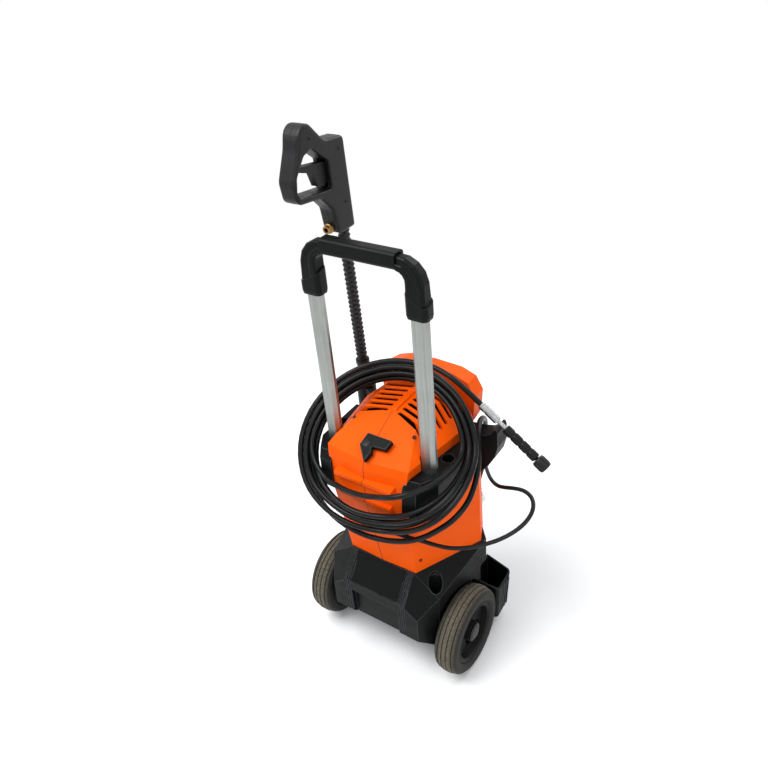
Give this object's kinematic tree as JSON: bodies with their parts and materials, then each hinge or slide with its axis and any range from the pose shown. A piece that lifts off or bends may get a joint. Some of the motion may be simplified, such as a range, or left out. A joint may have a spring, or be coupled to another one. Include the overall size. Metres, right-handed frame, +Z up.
{
  "type": "pressure washer",
  "caption": "Upright electric pressure washer on wheels, with a tube handle, wound high pressure hose, stowed spray gun and power cord.",
  "frame": {"origin": "on the floor, in the middle of the machine's length and width", "axes": "+X to the right seen from behind the handle, +Y to the front, +Z up"},
  "size_m": [0.4581, 0.5878, 1.0703],
  "materials": {
    "orange_shell": "moulded, light sheen",
    "black_base": "moulded, fine grain",
    "handle_grip": "moulded, soft sheen",
    "silver_tube": "satin, drawn lengthwise",
    "tyre_rubber": "dusty",
    "wheel_plastic": "moulded",
    "cap_plastic": "moulded",
    "steel": "turned",
    "brass": "turned",
    "gun_plastic": "moulded, fine grain",
    "hose_rubber": "smooth, slight sheen",
    "cord_rubber": "smooth, matte",
    "fitting_plastic": "moulded"
  },
  "bodies": {
    "machine": {"accessory_bin": "black_base", "air_guide": "black_base", "axle": "steel", "base": "black_base", "bracket_left": "black_base", "bracket_right": "black_base", "cord_coil": "cord_rubber", "cord_gland": "cord_rubber", "cord_tail": "cord_rubber", "cord_tie": "cord_rubber", "end_ferrule": "steel", "end_nut": "fitting_plastic", "end_sleeve": "hose_rubber", "end_stem": "steel", "feed_ferrule": "steel", "feed_nut": "brass", "feet": "cord_rubber", "front_panel": "black_base", "handle_bar": "handle_grip", "handle_elbow_left": "handle_grip", "handle_elbow_right": "handle_grip", "handle_tube_left": "silver_tube", "handle_tube_right": "silver_tube", "hose_coil": "hose_rubber", "hose_end": "hose_rubber", "hose_feed": "hose_rubber", "housing_left": "orange_shell", "housing_right": "orange_shell", "lance_holder": "black_base", "latch_screw": "cap_plastic", "motor": "steel", "plug": "cord_rubber", "plug_pins": "steel", "power_cord": "cord_rubber", "pump": "steel", "side_hook": "black_base", "water_inlet": "fitting_plastic", "water_outlet": "brass"},
    "wheel_left": {"tyre_left": "tyre_rubber", "hub_left": "wheel_plastic", "hub_cap_left": "cap_plastic"},
    "wheel_right": {"tyre_right": "tyre_rubber", "hub_right": "wheel_plastic", "hub_cap_right": "cap_plastic"},
    "latch": {"hose_latch": "black_base"},
    "knob": {"switch_knob": "cap_plastic"},
    "fan": {"motor_fan": "fitting_plastic"},
    "gun": {"gun_body_left": "gun_plastic", "gun_body_right": "gun_plastic", "gun_inlet": "brass", "gun_extension": "gun_plastic", "gun_coupling": "gun_plastic", "trigger_pin": "steel"},
    "trigger": {"gun_trigger": "gun_plastic"}
  },
  "joints": [
    {"name": "wheel_left_spin", "type": "hinge", "parent": "machine", "child": "wheel_left", "pos_m": [-0.156, -0.05, 0.0925], "axis": [1, 0, 0], "continuous": true},
    {"name": "wheel_right_spin", "type": "hinge", "parent": "machine", "child": "wheel_right", "pos_m": [0.156, -0.05, 0.0925], "axis": [1, 0, 0], "continuous": true},
    {"name": "latch_swivel", "type": "hinge", "parent": "machine", "child": "latch", "pos_m": [-0.006, -0.096, 0.53458], "axis": [0, -0.4203, 0.9074], "range_deg": [-90, 90]},
    {"name": "switch_turn", "type": "hinge", "parent": "machine", "child": "knob", "pos_m": [0, 0.115, 0.425], "axis": [0, 1, 0], "range_deg": [0, 90]},
    {"name": "fan_spin", "type": "hinge", "parent": "machine", "child": "fan", "pos_m": [0, -0.012, 0.487], "axis": [0, 0, 1], "continuous": true},
    {"name": "gun_lift", "type": "slide", "parent": "machine", "child": "gun", "axis": [0, -0.0436, 0.999], "range_m": [0, 0.25]},
    {"name": "trigger_pull", "type": "hinge", "parent": "gun", "child": "trigger", "pos_m": [-0.152, 0.05369, 0.98244], "axis": [-1, 0, 0], "range_deg": [0, 9], "stiffness_Nm_per_rad": 0.4}
  ]
}
